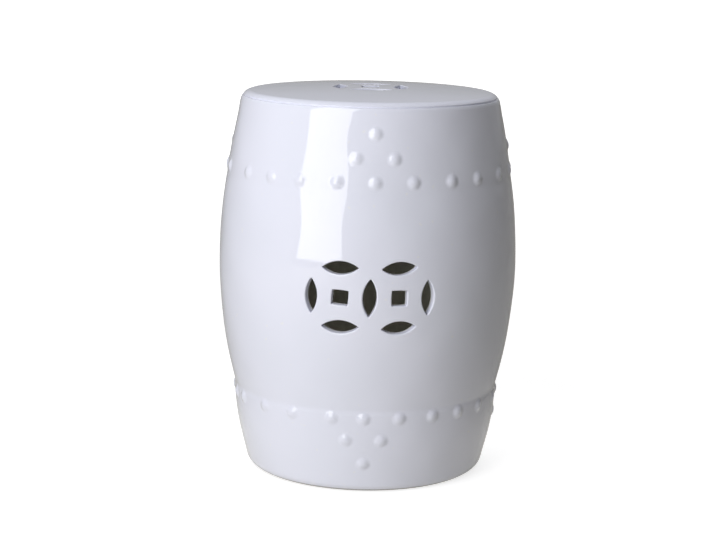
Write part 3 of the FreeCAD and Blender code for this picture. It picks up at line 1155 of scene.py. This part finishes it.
def clay_parts(nodes, look):
    """Colour, roughness and height of the bare clay: fine grains of two shades, and a few soft stains."""
    grains = nodes.noise(look.grain_size, detail=3.0, roughness=0.7)
    stains = nodes.noise(look.wave_size)
    shade = nodes.math("MULTIPLY_ADD", stains, 0.5, nodes.math("MULTIPLY", grains, 0.5))
    shaded = nodes.mix(nodes.ramp(shade, *CLAY_SHADE), opaque(look.clay_dark), opaque(look.clay))
    ends = [look.clay_roughness + change for change in CLAY_ROUGHNESS_SPREAD]
    roughness = nodes.ramp(grains, *SOFT_CHANGE, *ends)
    return shaded, roughness, nodes.math("MULTIPLY", grains, look.grain_depth)


def make_clay(look):
    """Bare fired clay."""
    _, nodes, shader = new_material("stool_clay")
    shaded, roughness, height = clay_parts(nodes, look)
    nodes.join(shaded, shader["Base Color"])
    nodes.join(roughness, shader["Roughness"])
    nodes.join(nodes.bump(height), shader["Normal"])
    shader["IOR"].default_value = look.refraction


def make_glaze(look):
    """White glaze over clay: glossy, a little uneven in colour and gloss, waved, dimpled and thinly specked.

    Where the piece's glaze attribute fades out, the bare clay shows, with a ragged line between them. The
    lowest few millimetres are painted dark, a painted contact shadow where the stool meets the floor.
    """
    _, nodes, shader = new_material("stool_glaze")
    clay_colour, clay_roughness, clay_height = clay_parts(nodes, look)
    waves = nodes.noise(look.wave_size, detail=1.5)
    drift = nodes.noise(DRIFT_WAVES * look.wave_size, detail=3.0)
    peel = nodes.noise(look.peel_size, detail=1.0)
    base = nodes.mix(nodes.ramp(drift, *SOFT_CHANGE), opaque(look.glaze_pool), opaque(look.glaze))
    specks = nodes.ramp(nodes.noise(look.speck_size, detail=0.0), *SPECK_RANGE)
    base = nodes.mix(nodes.math("MULTIPLY", specks, SPECK_STRENGTH), base, opaque(look.clay))
    gloss = nodes.ramp(drift, *SOFT_CHANGE, look.gloss + GLOSS_SPREAD, look.gloss - GLOSS_SPREAD)
    height = nodes.math("MULTIPLY", waves, look.wave_depth)
    height = nodes.math("MULTIPLY_ADD", peel, look.peel_depth, height)
    share = nodes.add("ShaderNodeAttribute", attribute_name="glaze").outputs["Fac"]
    notches = nodes.noise(NOTCH_GRAINS * look.grain_size)
    covered = nodes.ramp(nodes.math("MULTIPLY_ADD", notches, RAGGEDNESS, share), *RAGGED_LINE)
    parts = nodes.add("ShaderNodeSeparateXYZ")
    nodes.join(nodes.place, parts.inputs["Vector"])
    # Painted contact shadow: the base colour turns dark towards the bottom of the glaze, in place of the
    # shade where the stool meets the floor
    above = nodes.ramp(parts.outputs["Z"], FULLY_SHADOWED * look.contact_shadow_height, look.contact_shadow_height)
    colour_with_painted_shadow = nodes.mix(above, opaque(look.painted_contact_shadow), nodes.mix(covered, clay_colour, base))
    nodes.join(colour_with_painted_shadow, shader["Base Color"])
    nodes.join(nodes.blend(covered, clay_roughness, gloss), shader["Roughness"])
    nodes.join(nodes.bump(nodes.blend(covered, clay_height, height)), shader["Normal"])
    shader["IOR"].default_value = look.refraction


# Studio

# Cosines of the angles to the middle of the ceiling's light, at which it begins and is full
CEILING = (0.80, 0.97)

# Radii of the floor's rings inside its edge, and its sides
FLOOR_RINGS = (0.5, 1.0, 2.0, 4.0, 8.0)
FLOOR_SIDES = 64


def make_camera(studio):
    """The camera, on a circle round the stool: level towards the axis, then turned by pan, pitch and roll."""
    side = Matrix.Rotation(-studio.camera_side, 4, "Z")
    where = Matrix.Translation((0.0, -studio.camera_distance, studio.camera_height))
    pan = Matrix.Rotation(-studio.camera_pan, 4, "Z")
    pitch = Matrix.Rotation(-studio.camera_pitch, 4, "X")
    roll = Matrix.Rotation(-studio.camera_roll, 4, "Y")
    level = Matrix.Rotation(math.pi / 2, 4, "X")
    lens = bpy.data.cameras.new("camera")
    lens.sensor_width = studio.sensor_width
    lens.lens = studio.focal_pixels * studio.sensor_width / studio.picture_width
    camera = bpy.data.objects.new("camera", lens)
    camera.matrix_world = side @ where @ pan @ pitch @ roll @ level
    bpy.context.scene.collection.objects.link(camera)
    bpy.context.scene.camera = camera


def make_softbox(studio):
    """One tall softbox in front to the left: it faces the axis, is rolled about its middle and leans in."""
    light = bpy.data.lights.new("softbox", "AREA")
    light.shape = "RECTANGLE"
    light.size = studio.softbox_width
    light.size_y = studio.softbox_height
    light.energy = studio.softbox_power
    lamp = bpy.data.objects.new("softbox", light)
    ahead = Vector((-math.sin(studio.softbox_side), -math.cos(studio.softbox_side), 0.0))
    lamp.location = ahead * studio.softbox_distance
    lamp.location.z = studio.softbox_middle
    rolled = Matrix.Rotation(studio.softbox_roll, 3, "Z") @ Matrix.Rotation(-studio.softbox_tilt, 3, "X")
    lamp.rotation_euler = (ahead.to_track_quat("Z", "Y").to_matrix() @ rolled).to_euler()
    bpy.context.scene.collection.objects.link(lamp)


def make_world(studio):
    """The surroundings: white to the camera, grey in reflections, and as light bright from above and behind.

    That light's strength goes by the cosine between a direction and the middle of the ceiling's light.
    """
    world = bpy.data.worlds.new("studio")
    bpy.context.scene.world = world
    world.use_nodes = True
    nodes = Nodes(world.node_tree, "Generated")
    ceiling = nodes.add("ShaderNodeVectorMath", operation="DOT_PRODUCT")
    nodes.join(nodes.place, ceiling.inputs[0])
    ceiling.inputs[1].default_value = (0.0, math.sin(studio.ceiling_lean), math.cos(studio.ceiling_lean))
    light = nodes.ramp(ceiling.outputs["Value"], *CEILING, studio.ambient_low, studio.ambient_high)
    path = nodes.add("ShaderNodeLightPath").outputs
    mirrored = nodes.math("MAXIMUM", path["Is Glossy Ray"], path["Is Transmission Ray"])
    unseen = nodes.blend(mirrored, light, studio.surround)
    background = world.node_tree.nodes["Background"].inputs
    nodes.join(nodes.blend(path["Is Camera Ray"], unseen, studio.backdrop), background["Strength"])
    background["Color"].default_value = opaque(WHITE)


def make_floor(studio):
    """A wide round floor of rings: it keeps the stool's shadow, and far off it is white to the camera.

    To the stool it sends back the light of its colour, and adds a little under the stool and close round it.
    """
    rings = np.array([*FLOOR_RINGS, studio.floor_radius])
    points = rings[:, None, None] * rightward(np.arange(FLOOR_SIDES) * 2 * math.pi / FLOOR_SIDES)
    numbers = closed(np.arange(points.size // 3).reshape(points.shape[:2]))
    quads = np.stack([numbers[:-1, :-1], numbers[1:, :-1], numbers[1:, 1:], numbers[:-1, 1:]], -1)
    mesh = bpy.data.meshes.new("floor")
    faces = [list(range(FLOOR_SIDES)), *quads.reshape(-1, 4).tolist()]
    mesh.from_pydata(points.reshape(-1, 3).tolist(), [], faces)
    floor = bpy.data.objects.new("floor", mesh)
    bpy.context.scene.collection.objects.link(floor)
    material, nodes, shader = new_material("stool_floor")
    shader["Roughness"].default_value = 1.0
    shader["Specular IOR Level"].default_value = 0.0
    length = nodes.add("ShaderNodeVectorMath", operation="LENGTH")
    nodes.join(nodes.place, length.inputs[0])
    distance = length.outputs["Value"]
    shown = nodes.ramp(distance, studio.floor_near, studio.floor_far, studio.floor_glow, 1.0)
    under = nodes.ramp(distance, studio.core_near, studio.core_far, 1.0, 0.0)
    close = nodes.ramp(distance, studio.ring_near, studio.ring_far, studio.floor_ring, 0.0)
    sent = nodes.blend(under, close, studio.floor_core)
    seen = nodes.add("ShaderNodeLightPath").outputs["Is Camera Ray"]
    nodes.join(nodes.mix(seen, opaque(studio.floor_colour), opaque(studio.floor_shown)), shader["Base Color"])
    nodes.join(nodes.mix(seen, opaque(studio.floor_tint), opaque(WHITE)), shader["Emission Color"])
    nodes.join(nodes.blend(seen, sent, shown), shader["Emission Strength"])
    mesh.materials.append(material)


# Operators


class STOOL_OT_finishes(bpy.types.Operator):
    """Makes the white glaze and the bare clay"""

    bl_idname = "stool.finishes"
    bl_label = "Glaze and Clay"
    bl_options = {"REGISTER", "UNDO"}

    def execute(self, context):
        """Makes both materials from the scene's settings."""
        make_glaze(context.scene.stool.look)
        make_clay(context.scene.stool.look)
        return {"FINISHED"}


class STOOL_OT_wall(bpy.types.Operator):
    """Makes the glazed wall with its pierced double coin"""

    bl_idname = "stool.wall"
    bl_label = "Glazed Wall"
    bl_options = {"REGISTER", "UNDO"}

    def execute(self, context):
        """Makes the wall from the scene's settings."""
        make_wall(context.scene.stool)
        return {"FINISHED"}


class STOOL_OT_seat(bpy.types.Operator):
    """Makes the glazed seat with its pierced coin"""

    bl_idname = "stool.seat"
    bl_label = "Glazed Seat"
    bl_options = {"REGISTER", "UNDO"}

    def execute(self, context):
        """Makes the seat from the scene's settings."""
        make_seat(context.scene.stool)
        return {"FINISHED"}


class STOOL_OT_foot_ring(bpy.types.Operator):
    """Makes the bare ring that the stool stands on"""

    bl_idname = "stool.foot_ring"
    bl_label = "Foot Ring"
    bl_options = {"REGISTER", "UNDO"}

    def execute(self, context):
        """Makes the foot ring from the scene's settings."""
        make_foot_ring(context.scene.stool)
        return {"FINISHED"}


class STOOL_OT_bosses(bpy.types.Operator):
    """Makes the two rows of bosses and the two sets of clusters"""

    bl_idname = "stool.bosses"
    bl_label = "Bosses"
    bl_options = {"REGISTER", "UNDO"}

    def execute(self, context):
        """Makes a row and a set of clusters for each band from the scene's settings."""
        for band in ("upper", "lower"):
            row = [name for name in BOSS_NODES if name.startswith(band)]
            make_bosses(context.scene.stool, f"{band}_boss_row", row)
            clusters = [f"{band}_cluster_{side}" for side in SIDES]
            make_bosses(context.scene.stool, f"{band}_clusters", clusters)
        return {"FINISHED"}


class STOOL_OT_stage(bpy.types.Operator):
    """Makes the floor, the softbox, the surroundings and the camera"""

    bl_idname = "stool.stage"
    bl_label = "Stage"
    bl_options = {"REGISTER", "UNDO"}

    def execute(self, context):
        """Makes the studio from the scene's settings, and shows its colours as they are."""
        studio = context.scene.stool.studio
        make_floor(studio)
        make_softbox(studio)
        make_world(studio)
        make_camera(studio)
        context.scene.view_settings.view_transform = "Standard"
        return {"FINISHED"}


STEPS = (STOOL_OT_finishes, STOOL_OT_wall, STOOL_OT_seat, STOOL_OT_foot_ring, STOOL_OT_bosses, STOOL_OT_stage)


class STOOL_PT_panel(bpy.types.Panel):
    """Lists the sizes, the finishes and the steps"""

    bl_label = "Garden Stool"
    bl_idname = "STOOL_PT_panel"
    bl_space_type = "VIEW_3D"
    bl_region_type = "UI"
    bl_category = "Stool"

    def draw(self, context):
        """Lists the settings by group, and then the steps in order."""
        settings = context.scene.stool
        for group in ("barrel", "coin", "boss", "look", "studio"):
            box = self.layout.box()
            box.label(text=group.title())
            values = getattr(settings, group)
            for name in values.bl_rna.properties.keys():
                if name not in ("name", "rna_type"):
                    box.prop(values, name)
        for step in STEPS:
            self.layout.operator(step.bl_idname)


CLASSES = (BarrelSizes, CoinSizes, BossSizes, GlazeLook, StudioLook, StoolSettings, *STEPS, STOOL_PT_panel)


def register():
    """Adds the classes and the scene's settings."""
    for cls in CLASSES:
        bpy.utils.register_class(cls)
    bpy.types.Scene.stool = PointerProperty(type=StoolSettings)


def unregister():
    """Takes them away again."""
    del bpy.types.Scene.stool
    for cls in reversed(CLASSES):
        bpy.utils.unregister_class(cls)


def main():
    """Builds everything in order."""
    register()
    for step in STEPS:
        group, name = step.bl_idname.split(".")
        getattr(getattr(bpy.ops, group), name)()


if __name__ == "__main__":
    main()
